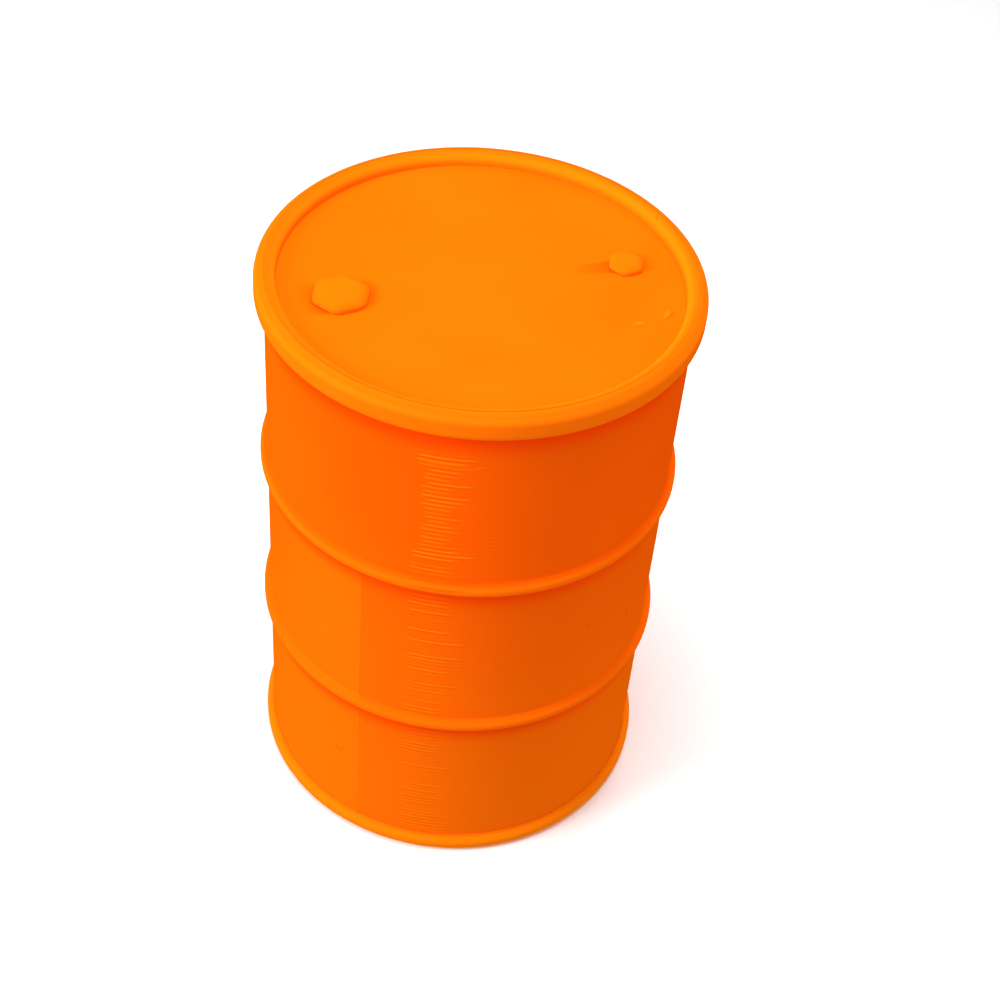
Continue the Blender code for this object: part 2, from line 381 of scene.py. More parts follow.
@dataclass(frozen=True)
class ShellEnamel(Enamel):
    """The shell's enamel, with its level lines and their painted glints, painted highlights on its
    hoops, painted shade below the overhangs, painted light towards its foot and the band beside the side
    seam.

    Attributes:
        wall_radius: The outer radius of the shell between the hoops.
        crest_highlight_rise: How far outside the wall the painted highlight on a hoop's crest begins,
            and where it is full.
        overhangs: The height of each lower edge that keeps light off the wall below it.
        overhang_reach: How far below such an edge the wall is painted darker, as painted shade.
        overhang_ends: From how far above the edge to how far below it the painted shade starts.
        overhang_fade: The power by which the painted shade fades.
        foot_light_top: The height below which the wall is painted lighter towards the foot, as painted
            light.
        foot_light_share: How much of the painted lighter colour the foot has.
        line_pitch: The distance between two level lines.
        line_half: Half a line's width, as a share of the pitch.
        line_rise: The height of a lit line, in millimetres.
        fine_rise: The least and the further height of a line anywhere, in millimetres.
        swell_size: The size of the patches in which that height swells.
        gap_shade_share: How dark the painted shade in the gaps between lit lines is.
        streak_angle: Where round the shell the lines catch the light as painted glints, from the front
            towards +X.
        streak_half: Half the angle that the lit lines span.
        streak_soft: The angle in which a line fades in. It takes twice as long to fade out.
        starts: The most that a line starts before the streak's middle, and how much less by chance.
        ends: The least that it ends after the middle, and how much more by chance.
        dimmest: How bright the dimmest line of the dense patch is.
        patchy: How bright a line is where it is most broken.
        patch_size: The size of its broken patches, which are stretched along it.
        spread: How much further the lines reach outside the dense patch. They end half as far.
        dense_foot: The heights at which the dense patch begins, and is full.
        dense_top: The heights at which it ends, and is still full.
        sparse: The chance at which a line outside the patch begins to be lit, and is fully lit.
        broken: The noise at which a line is most broken, and is whole.
        seam_angle: Where the side seam runs.
        seam_top: The height below which the seam shows.
        seam_fade: The height in which it fades.
        seam_edge: The angle in which the band beside it ends.
        band_angle: The angle in which the band fades on its other side.
        band_share: How much of its own colour the band has.
        weld_rise: The height of the weld, in millimetres.
        crest: The lighter colour on the hoops' crests, a painted highlight.
        painted_shade: The painted shade below an overhang, and between lit lines.
        painted_glint: The painted highlight of a lit line.
        beside: The colour beside the seam.
        low: The lighter colour at the foot, painted light.
    """

    wall_radius: float = 0.28695
    crest_highlight_rise: Span = (0.0015, 0.0085)
    overhangs: tuple[float, ...] = (0.2860, 0.5655, 0.8400)
    overhang_reach: float = 0.042
    overhang_ends: Span = (0.004, 0.001)
    overhang_fade: float = 1.3
    foot_light_top: float = 0.80
    foot_light_share: float = 0.9
    line_pitch: float = 0.0074
    line_half: float = 0.46
    line_rise: float = 0.5
    fine_rise: Span = (0.03, 0.10)
    swell_size: float = 0.06
    gap_shade_share: float = 0.40
    streak_angle: float = math.radians(-4.5)
    streak_half: float = math.radians(7.0)
    streak_soft: float = 0.03
    starts: Span = (1.05, 0.35)
    ends: Span = (0.25, 0.90)
    dimmest: float = 0.55
    patchy: float = 0.4
    patch_size: float = 0.004
    spread: float = 0.06
    dense_foot: Span = (0.630, 0.655)
    dense_top: Span = (0.798, 0.780)
    sparse: Span = (0.25, 0.75)
    broken: Span = (0.30, 0.50)
    seam_angle: float = math.radians(-27)
    seam_top: float = 0.56
    seam_fade: float = 0.02
    seam_edge: float = 0.006
    band_angle: float = 0.8
    band_share: float = 0.6
    weld_rise: float = 0.25
    crest: Colour = (0.985, 0.142, 0.0016)
    painted_shade: Colour = (0.97, 0.052, 0.0004)
    painted_glint: Colour = (0.985, 0.200, 0.0024)
    beside: Colour = (0.985, 0.165, 0.0020)
    low: Colour = (0.985, 0.152, 0.0018)

    def _marks(self, graph: Graph, colour: Any, height: Value) -> tuple[Any, Value]:
        """Adds the painted lighter foot, the seam, the painted highlight on the hoops' crests, the level
        lines with their painted glints, and the painted shade below the overhangs.

        Args:
            graph: The material's graph.
            colour: The coat's colour.
            height: The coat's height, in millimetres.

        Returns:
            The colour and the height with the marks.
        """
        x, y, z = graph.xyz()
        angle, radius = x.math("ARCTAN2", x, y * -1.0), x.distance(y)
        begins, full = self.crest_highlight_rise
        crest = radius.rise(self.wall_radius + begins, self.wall_radius + full)
        # Painted light: the wall is painted lighter towards the foot.
        colour = graph.mix(z.rise(self.foot_light_top, 0.0) * self.foot_light_share, colour, self.low)
        band, weld = self._seam(angle, z)
        colour = graph.mix(band * self.band_share, colour, self.beside)
        # Painted highlight: the hoops' crests are painted lighter than the wall.
        colour = graph.mix(crest, colour, self.crest)
        lines, lit, gaps = self._lines(graph, angle, z)
        # Painted highlights on the lit level lines, and painted shade in the gaps between them.
        colour = graph.mix(lit * (1.0 - crest), colour, self.painted_glint)
        colour = graph.mix(gaps * self.gap_shade_share, colour, self.painted_shade)
        # Painted shade on the wall below the hoops and the top chime ring.
        colour = graph.mix(self._shade_below_overhangs(z) * (1.0 - crest), colour, self.painted_shade)
        return colour, height + lines + weld * self.weld_rise

    def _shade_below_overhangs(self, z: Value) -> Value:
        """Finds the painted shade on the wall below an overhang.

        Args:
            z: The height.

        Returns:
            The painted shade: 1 at the edge and 0 at the end of its reach.
        """
        dark = None
        above, below = self.overhang_ends
        for edge in self.overhangs:
            fade = z.rise(edge - self.overhang_reach, edge) ** self.overhang_fade
            fade = fade * z.rise(edge + above, edge - below)
            dark = fade if dark is None else dark + fade
        return dark.clamped()

    def _seam(self, angle: Value, z: Value) -> tuple[Value, Value]:
        """Finds the side seam.

        Args:
            angle: The angle round the shell.
            z: The height.

        Returns:
            The lighter band beside the seam, and the weld's own rise.
        """
        shows = z.rise(self.seam_top + self.seam_fade, self.seam_top)
        band = angle.rise(self.seam_angle - self.band_angle, self.seam_angle)
        band = band * angle.rise(self.seam_angle + self.seam_edge, self.seam_angle)
        return band * shows, angle.bell(self.seam_angle, self.seam_edge * 2) * shows

    def _lines(self, graph: Graph, angle: Value, z: Value) -> tuple[Value, Value, Value]:
        """Draws the level lines, with painted highlights on the lit ones and painted shade between them.

        Args:
            graph: The material's graph.
            angle: The angle round the shell.
            z: The height.

        Returns:
            The lines' height in millimetres, how much each line is painted lit, and how much painted
            shade lies between them.
        """
        count = z / self.line_pitch
        index = count.rounded_down()
        ridge = (count - index).bell(0.5, self.line_half)
        chance = graph.chance(index)
        other = graph.chance(index + OTHER_SEED)
        dense = z.rise(*self.dense_foot) * z.rise(*self.dense_top)
        spread = (1.0 - dense) * self.spread
        most, less = self.starts
        least, more = self.ends
        first = self.streak_angle - self.streak_half * (most - chance * less) - spread
        last = self.streak_angle + self.streak_half * (least + other**2.0 * more) + spread * 0.5
        soft = self.streak_soft
        along = (angle - first).rise(0.0, soft) * (angle - last).rise(0.0, -2 * soft)
        sparse = chance.rise(*self.sparse) * (1.0 - dense)
        patches = graph.noise(self.patch_size, 2.0, (9, 9, 1)).rise(*self.broken)
        broken = patches * (1 - self.patchy) + self.patchy
        bright = self.dimmest + (1 - self.dimmest) * other
        share = along * (dense * bright + sparse) * broken
        lit = ridge * share
        base, further = self.fine_rise
        everywhere = graph.noise(self.swell_size, 2.0, (2, 2, 1)).rise(*CLOUDS) * further + base
        return ridge * everywhere + lit * self.line_rise, lit, (1.0 - ridge) * share


@dataclass(frozen=True)
class ChimeEnamel(Enamel):
    """The chime rings' enamel, a lighter copy of the shell's enamel as painted light, painted lighter
    still on the crown's inner and outer sides and on the bottom ring.

    Attributes:
        painted_light_starts: Where the painted light on the crown's inner and outer side begins.
        painted_light_fulls: Where the painted light on each side is full.
        painted_light_foot_height: The height below which the bottom ring's painted light begins. At half
            of it, it is full.
        inner: The painted lighter colour on the inner side.
        outer: The painted lighter colour on the outer side.
        foot: The painted lighter colour of the bottom ring.
    """

    name: str = "chime_enamel"
    # Painted light: the rings' coat is a lighter copy of the shell's enamel.
    full: Colour = (0.985, 0.106, 0.0010)
    thin: Colour = (0.97, 0.100, 0.0008)
    warm: Colour = (0.985, 0.111, 0.0012)
    painted_light_starts: Span = (0.2820, 0.2930)
    painted_light_fulls: Span = (0.2725, 0.2998)
    painted_light_foot_height: float = 0.05
    inner: Colour = (0.985, 0.165, 0.0018)
    outer: Colour = (0.985, 0.158, 0.0018)
    foot: Colour = (0.985, 0.200, 0.0024)

    def _marks(self, graph: Graph, colour: Any, height: Value) -> tuple[Any, Value]:
        """Adds the painted light on the sides of the crown and on the bottom ring.

        Args:
            graph: The material's graph.
            colour: The coat's colour.
            height: The coat's height, in millimetres.

        Returns:
            The colour with the marks, and the same height.
        """
        x, y, z = graph.xyz()
        radius = x.distance(y)
        # Painted light on the inner and the outer side of the crown.
        for tint, crown, side in zip((self.inner, self.outer), self.painted_light_starts, self.painted_light_fulls):
            colour = graph.mix(radius.rise(crown, side), colour, tint)
        # Painted light on the bottom ring.
        low = z.rise(self.painted_light_foot_height, self.painted_light_foot_height / 2)
        return graph.mix(low, colour, self.foot), height


@dataclass(frozen=True)
class PlugEnamel(Enamel):
    """The plugs' enamel, a lighter copy of the head's enamel as painted light, painted lighter still
    round their feet where shade falls.

    Attributes:
        painted_light_heights: Where the painted light at the foot ends, and where it is full.
        foot: The painted lighter colour at the foot.
        foot: The colour at the foot.
    """

    name: str = "plug_enamel"
    # Painted light: the plugs' coat is a lighter copy of the head's enamel.
    full: Colour = (0.985, 0.110, 0.0010)
    thin: Colour = (0.97, 0.102, 0.0008)
    warm: Colour = (0.985, 0.116, 0.0012)
    painted_light_heights: Span = (0.874, 0.866)
    foot: Colour = (0.985, 0.195, 0.0022)

    def _marks(self, graph: Graph, colour: Any, height: Value) -> tuple[Any, Value]:
        """Adds the painted lighter foot.

        Args:
            graph: The material's graph.
            colour: The coat's colour.
            height: The coat's height, in millimetres.

        Returns:
            The colour with the foot, and the same height.
        """
        z = graph.xyz()[2]
        # Painted light round the plugs' feet, where shade would fall.
        return graph.mix(z.rise(*self.painted_light_heights), colour, self.foot), height


@dataclass(frozen=True)
class ZincPlate:
    """Dull zinc plate on turned steel.

    Attributes:
        name: The material's name.
        bright: Its colour where it is bright.
        dull: Its colour where it is dull.
        cloud_size: The size of a dull cloud.
        tool_size: The width of a tool mark.
        tool_length: How many times longer than wide a tool mark is.
        tool_depth: The depth of the tool marks, in millimetres.
        cloud_depth: The depth of the clouds, in millimetres.
        smoothest: Its lowest roughness.
        cloud_rough: How much rougher a cloud is.
    """

    name: str = "zinc_plate"
    bright: Colour = (0.66, 0.67, 0.66)
    dull: Colour = (0.40, 0.42, 0.43)
    cloud_size: float = 0.006
    tool_size: float = 0.0006
    tool_length: float = 12
    tool_depth: float = 0.05
    cloud_depth: float = 0.03
    smoothest: float = 0.30
    cloud_rough: float = 0.25

    def material(self) -> bpy.types.Material:
        """Builds the plate's nodes.

        Returns:
            The material.
        """
        graph = Graph(bpy.data.materials.new(self.name))
        cloud = graph.noise(self.cloud_size, 4.0)
        tool = graph.noise(self.tool_size, 1.0, (self.tool_length, self.tool_length, 1))
        colour = graph.mix(cloud.rise(*CLOUDS), self.bright, self.dull)
        graph.bump(tool * self.tool_depth + cloud * self.cloud_depth)
        rough = self.smoothest + cloud * self.cloud_rough
        return graph.finish(Base_Color=colour, Roughness=rough, Metallic=1.0)


@dataclass(frozen=True)
class Rubber:
    """Matt moulded rubber.

    Attributes:
        name: The material's name.
        clean: Its colour where it is clean.
        dusty: Its colour where dust lies on it.
        dust_size: The size of a patch of dust.
        dust: The noise at which the dust begins, and at which it is full.
        pore_size: The size of a pore.
        pore_depth: The depth of the pores, in millimetres.
        smoothest: Its lowest roughness.
        dust_rough: How much rougher the dust is.
    """

    name: str = "black_rubber"
    clean: Colour = (0.012, 0.012, 0.013)
    dusty: Colour = (0.045, 0.043, 0.040)
    dust_size: float = 0.005
    dust: Span = (0.45, 0.75)
    pore_size: float = 0.0005
    pore_depth: float = 0.06
    smoothest: float = 0.62
    dust_rough: float = 0.2

    def material(self) -> bpy.types.Material:
        """Builds the rubber's nodes.

        Returns:
            The material.
        """
        graph = Graph(bpy.data.materials.new(self.name))
        dust = graph.noise(self.dust_size, 3.0)
        pores = graph.noise(self.pore_size, 1.0)
        colour = graph.mix(dust.rise(*self.dust), self.clean, self.dusty)
        graph.bump(pores * self.pore_depth)
        return graph.finish(Base_Color=colour, Roughness=self.smoothest + dust * self.dust_rough)


# --------------------------------------------------------------------------------------------------
# Shapes
# --------------------------------------------------------------------------------------------------


@dataclass(frozen=True)
class Corner:
    """A corner of a turned path.

    Attributes:
        radius: Its distance from the axis.
        height: Its height.
        fillet: The radius that rounds it.
    """

    radius: float
    height: float
    fillet: float = 0.0


class End(Enum):
    """An end of the drum. Its value points out of the drum along the axis."""

    TOP = 1
    BOTTOM = -1

    def height(self) -> float:
        """Where the end stands."""
        return CAD_BOX[1].z if self is End.TOP else CAD_BOX[0].z

    def placed(self, corners: list[Corner]) -> list[Corner]:
        """The corners, with their depths from this end turned into heights."""
        return [Corner(c.radius, self.height() - self.value * c.height, c.fillet) for c in corners]


class Cut(Enum):
    """Where a thread is cut. Its value is 1 if the crests point to the axis."""

    BORE = 1
    SHANK = -1


def rounded(corners: list[Corner], step: float = math.radians(9)) -> list[Vector]:
    """Rounds the corners of a path.

    Args:
        corners: The path's corners. Its first and last have no fillet.
        step: The largest turn between two points of an arc.

    Returns:
        The (radius, height) points of the path.
    """
    points: list[Vector] = []
    for index, corner in enumerate(corners):
        here = Vector((corner.radius, corner.height))
        if not corner.fillet:
            points.append(here)
            continue
        back = (Vector((corners[index - 1].radius, corners[index - 1].height)) - here).normalized()
        ahead = (Vector((corners[index + 1].radius, corners[index + 1].height)) - here).normalized()
        half_angle = back.angle(ahead) / 2
        reach = corner.fillet / math.tan(half_angle)
        centre = here + (back + ahead).normalized() * corner.fillet / math.sin(half_angle)
        start = here + back * reach - centre
        sweep = start.angle_signed(here + ahead * reach - centre)
        count = max(2, math.ceil(abs(sweep) / step) + 1)
        for turn in np.linspace(0, -sweep, count):
            points.append(centre + Matrix.Rotation(turn, 2) @ start)
    return points


def sheet_sides(path: list[Vector], thickness: float) -> tuple[list[Vector], list[Vector]]:
    """The two faces of a sheet.

    Args:
        path: The sheet's middle line.
        thickness: The sheet's thickness.

    Returns:
        The points of the face on the path's left, and of the face on its right.
    """
    left: list[Vector] = []
    right: list[Vector] = []
    for index, point in enumerate(path):
        before = point - path[index - 1] if index else path[1] - path[0]
        after = path[index + 1] - point if index < len(path) - 1 else before
        before, after = before.normalized(), after.normalized()
        middle = (before + after).normalized()
        normal = Vector((-middle.y, middle.x)) / max(middle.dot(before), SHARPEST_MITRE)
        left.append(point + normal * thickness / 2)
        right.append(point - normal * thickness / 2)
    return left, right


def sheet_outline(path: list[Vector], thickness: float) -> list[Vector]:
    """The closed outline of a sheet whose middle line is the path."""
    left, right = sheet_sides(path, thickness)
    return left + right[::-1]


def joined(first: int, count: int, around: int, looped: bool) -> list[tuple[int, ...]]:
    """Lists the faces over a stack of rings.

    Args:
        first: The number of the first ring's first point.
        count: The number of rings.
        around: The number of points in a ring.
        looped: Whether the last ring joins the first. If not, the two points after the rings close
            the ends.

    Returns:
        The numbers of each face's points.
    """
    starts = [first + ring * around for ring in range(count)]
    sides = [(side, (side + 1) % around) for side in range(around)]
    faces: list[tuple[int, ...]] = []
    for low, high in zip(starts, starts[1:] + (starts[:1] if looped else [])):
        faces += [(low + a, low + b, high + b, high + a) for a, b in sides]
    if not looped:
        pole = first + count * around
        for start, end in ((starts[0], pole), (starts[-1], pole + 1)):
            faces += [(start + a, start + b, end) for a, b in sides]
    return faces


class Skin:
    """A closed skin over a stack of rings that all have the same number of points."""

    def __init__(self, around: int, centre: Vector = Vector((0, 0, 0))) -> None:
        """Starts a skin without rings.

        Args:
            around: The number of points in a ring.
            centre: The place that the rings are turned about.
        """
        self.around = around
        self.centre = centre
        self.angles = np.linspace(0, 2 * math.pi, around, endpoint=False)
        self.rings: list[np.ndarray] = []

    def ring(self, radius: "float | np.ndarray", height: float) -> None:
        """Adds a ring.

        Args:
            radius: Its radius, which may vary with the angle.
            height: Its height.
        """
        points = np.empty((self.around, 3))
        points[:, 0] = np.cos(self.angles) * radius
        points[:, 1] = np.sin(self.angles) * radius
        points[:, 2] = height
        self.rings.append(points)

    def turn(self, outline: list[Vector]) -> None:
        """Adds a round ring for each (radius, height) point of an outline."""
        for radius, height in outline:
            self.ring(radius, height)

    def build(self, name: str, looped: bool) -> bpy.types.Object:
        """Makes the piece.

        Args:
            name: The piece's name.
            looped: Whether the last ring joins the first. If not, both ends are closed at the axis.

        Returns:
            The piece.
        """
        stack, centre = np.array(self.rings), np.array(self.centre)
        count, around = stack.shape[:2]
        points = (stack.reshape(-1, 3) + centre).tolist()
        if not looped:
            points += [(stack[ring].mean(axis=0) + centre).tolist() for ring in (0, -1)]
        return piece(name, points, joined(0, count, around, looped))


def piece(name: str, points: list[list[float]], faces: list[tuple[int, ...]]) -> bpy.types.Object:
    """Makes a smooth piece with outward faces.

    Args:
        name: The piece's name.
        points: Its points.
        faces: The numbers of each face's points.

    Returns:
        The piece.
    """
    mesh = bpy.data.meshes.new(name)
    mesh.from_pydata(points, [], faces)
    work = bmesh.new()
    work.from_mesh(mesh)
    bmesh.ops.remove_doubles(work, verts=work.verts, dist=SAME_PLACE)
    bmesh.ops.recalc_face_normals(work, faces=work.faces)
    work.to_mesh(mesh)
    work.free()
    mesh.shade_smooth()
    mesh.set_sharp_from_angle(angle=SHARP)
    made = bpy.data.objects.new(name, mesh)
    bpy.context.scene.collection.objects.link(made)
    return made


@dataclass(frozen=True)
class Thread:
    """A right-hand thread.

    Attributes:
        radius: Its pitch radius.
        pitch: Its rise in one turn.
        depth: From root to crest.
        low: Its lower end.
        high: Its upper end.
        cut: Where it is cut.
        rings_a_turn: How many rings there are in a pitch.
        flank_slope: How steep a flank is, against a thread of flanks alone.
        flat: The share of the root that is flat.
    """

    radius: float
    pitch: float
    depth: float
    low: float
    high: float
    cut: Cut
    rings_a_turn: int = 8
    flank_slope: float = 2.8
    flat: float = 0.2

    def rings(self, angles: np.ndarray) -> list[tuple[np.ndarray, float]]:
        """Finds the thread's rings.

        Args:
            angles: The angle of each point of a ring.

        Returns:
            The (radius, height) of each ring, from the upper end down.
        """
        count = math.ceil((self.high - self.low) / (self.pitch / self.rings_a_turn)) + 1
        made = []
        for height in np.linspace(self.high, self.low, count):
            phase = (height / self.pitch - angles / (2 * math.pi)) % 1.0
            flank = np.clip(np.abs(phase - 0.5) * self.flank_slope - self.flat, 0.0, 1.0) - 0.5
            share = min(1.0, min(self.high - height, height - self.low) / self.pitch)
            sunk = 0.0 if self.cut is Cut.BORE else 0.5 * (1 - share)
            wave = flank * share - sunk
            made.append((self.radius - wave * self.depth * self.cut.value, height))
        return made


def dress(made: bpy.types.Object, finish: bpy.types.Material, body: str) -> None:
    """Dresses a piece.

    Args:
        made: The piece.
        finish: Its finish.
        body: The body that it rides on.
    """
    made.data.materials.clear()
    made.data.materials.append(finish)
    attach(made, body)


# --------------------------------------------------------------------------------------------------
# Sub-assemblies
# --------------------------------------------------------------------------------------------------


@dataclass
class Shell:
    """The rolled sheet with its two swaged hoops and its body hooks.

    Attributes:
        finish: Its finish.
        inner_radius: Its inner radius between the hoops.
        sheet: The sheet's thickness.
        around: The number of points round it.
        hoop_heights: The height of each hoop's middle.
        hoop_foot: Half the height of a hoop at its foot.
        hoop_crest: Half the height of a hoop at its crest.
        foot_fillet: The fillet at a hoop's foot.
        crest_fillet: The fillet at its crest.
        hook_radius: The radius of the body hooks.
        hook_turn: The radius at which a hook turns.
        wall_turn: The radius at which the wall turns into a hook.
        hook_length: The length of a hook.
    """

    finish: bpy.types.Material
    inner_radius: float = 0.28575
    sheet: float = 0.0012
    around: int = 288
    hoop_heights: tuple[float, float] = (0.295, 0.5745)
    hoop_foot: float = 0.0100
    hoop_crest: float = 0.0048
    foot_fillet: float = 0.0055
    crest_fillet: float = 0.0056
    hook_radius: float = 0.2895
    hook_turn: float = 0.0015
    wall_turn: float = 0.0009
    hook_length: float = 0.0088

    def build(self) -> bpy.types.Object:
        """Builds the shell in place of its node.

        Returns:
            The shell.
        """
        low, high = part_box("shell")
        middle = self.inner_radius + self.sheet / 2
        crest = high.x - self.sheet / 2
        foot_end, top_end = low.z + self.sheet / 2, high.z - self.sheet / 2
        corners = [
            Corner(self.hook_radius, foot_end + self.hook_length),
            Corner(self.hook_radius, foot_end, self.hook_turn),
            Corner(middle, foot_end, self.wall_turn),
        ]
        for height in self.hoop_heights:
            corners += [
                Corner(middle, height - self.hoop_foot, self.foot_fillet),
                Corner(crest, height - self.hoop_crest, self.crest_fillet),
                Corner(crest, height + self.hoop_crest, self.crest_fillet),
                Corner(middle, height + self.hoop_foot, self.foot_fillet),
            ]
        corners += [
            Corner(middle, top_end, self.wall_turn),
            Corner(self.hook_radius, top_end, self.hook_turn),
            Corner(self.hook_radius, top_end - self.hook_length),
        ]
        skin = Skin(self.around)
        skin.turn(sheet_outline(rounded(corners), self.sheet))
        made = skin.build("shell_sheet", looped=True)
        dress(made, self.finish, "drum")
        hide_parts("shell")
        return made


@dataclass
class Head:
    """A recessed disc whose edge rises as the chuck wall and folds over the shell's body hook.

    Attributes:
        node: The node that it replaces.
        finish: Its finish.
        sheet: The sheet's thickness.
        recess: How deep the panel's outer face lies below the drum's end.
        chuck_radius: The radius of the chuck wall.
        corner_fillet: The fillet between the panel and the chuck wall.
        seam_top: How deep the top of the seam lies.
        seam_radius: The radius of the seam's outer wall.
        seam_foot: How deep the foot of the seam lies.
        hook_radius: The radius of the cover hook.
        hook_end: How deep the cover hook ends.
        fold: The radius of each fold of the seam.
        around: The number of points round it.
        steps_in: The radii of the panel's inner rings.
        punch_reach: How far the punch for a hole reaches above and below the panel.
        punch_around: The number of points round a hole.
    """

    node: str
    finish: bpy.types.Material
    sheet: float = 0.0012
    recess: float = 0.019
    chuck_radius: float = 0.28485
    corner_fillet: float = 0.004
    seam_top: float = 0.0045
    seam_radius: float = 0.2920
    seam_foot: float = 0.0180
    hook_radius: float = 0.2879
    hook_end: float = 0.0095
    fold: float = 0.0014
    around: int = 288
    steps_in: tuple[float, ...] = (0.02, 0.12, 0.20, 0.26)
    punch_reach: float = 0.004
    punch_around: int = 96

    def build(self, end: End, holes: list[tuple[Vector, float]]) -> bpy.types.Object:
        """Builds the head in place of its node.

        Args:
            end: The end that the head closes.
            holes: The centre and the radius of each hole.

        Returns:
            The head.
        """
        panel = self.recess + self.sheet / 2
        corners = [Corner(radius, panel) for radius in self.steps_in]
        corners += [
            Corner(self.chuck_radius, panel, self.corner_fillet),
            Corner(self.chuck_radius, self.seam_top, self.fold),
            Corner(self.seam_radius, self.seam_top, self.fold),
            Corner(self.seam_radius, self.seam_foot, self.fold),
            Corner(self.hook_radius, self.seam_foot, self.fold),
            Corner(self.hook_radius, self.hook_end),
        ]
        skin = Skin(self.around)
        skin.turn(sheet_outline(rounded(end.placed(corners)), self.sheet))
        made = skin.build(self.node + "_sheet", looped=False)
        for centre, radius in holes:
            self._pierce(made, centre, radius)
        dress(made, self.finish, "drum")
        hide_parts(self.node)
        return made

    def _pierce(self, made: bpy.types.Object, centre: Vector, radius: float) -> None:
        """Cuts a round hole through the panel.

        Args:
            made: The head.
            centre: The hole's centre.
            radius: The hole's radius.
        """
        punch = Skin(self.punch_around, centre)
        punch.turn([Vector((radius, self.punch_reach)), Vector((radius, -self.punch_reach))])
        cutter = punch.build("punch", looped=False)
        step = made.modifiers.new("hole", "BOOLEAN")
        step.operation = "DIFFERENCE"
        step.solver = "EXACT"
        step.object = cutter
        evaluated = made.evaluated_get(bpy.context.evaluated_depsgraph_get())
        cut = bpy.data.meshes.new_from_object(evaluated)
        made.modifiers.clear()
        made.data = cut
        bpy.data.objects.remove(cutter)


@dataclass
class ChimeRing:
    """The pressed channel over a double seam. Its depths are from the end that it caps.

    Attributes:
        node: The node that it replaces.
        finish: Its finish.
        waist: How deep it has closed in on the shell.
        shoulder: How deep its outer wall ends.
        shoulder_fillet: The fillet between the outer wall and the shoulder.
        crown_fillet: The fillet between the crown and the outer wall.
        sheet: The sheet's thickness.
        inner_radius: Its inner radius.
        inner_fillet: The fillet between the crown and the inner leg.
        leg_end: How deep the inner leg ends.
        lip_radius: The radius of the lip round the shell.
        lip_fillet: The fillet above the lip.
        around: The number of points round it.
        step: The largest turn between two points of a fillet.
    """

    node: str
    finish: bpy.types.Material
    waist: float
    shoulder: float
    shoulder_fillet: float
    crown_fillet: float
    sheet: float = 0.0015
    inner_radius: float = 0.271
    inner_fillet: float = 0.0146
    leg_end: float = 0.0187
    lip_radius: float = 0.2880
    lip_fillet: float = 0.0012
    around: int = 288
    step: float = math.radians(6)

    def build(self, end: End) -> bpy.types.Object:
        """Builds the ring in place of its node.

        Args:
            end: The end that the ring caps.

        Returns:
            The ring.
        """
        low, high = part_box(self.node)
        outer = high.x - self.sheet / 2
        inner = self.inner_radius + self.sheet / 2
        crown = self.sheet / 2
        corners = [
            Corner(self.lip_radius, high.z - low.z),
            Corner(self.lip_radius, self.waist, self.lip_fillet),
            Corner(outer, self.shoulder, self.shoulder_fillet),
            Corner(outer, crown, self.crown_fillet),
            Corner(inner, crown, self.inner_fillet),
            Corner(inner, self.leg_end),
        ]
        skin = Skin(self.around)
        skin.turn(sheet_outline(rounded(end.placed(corners), self.step), self.sheet))
        made = skin.build(self.node + "_sheet", looped=True)
        dress(made, self.finish, "drum")
        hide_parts(self.node)
        return made


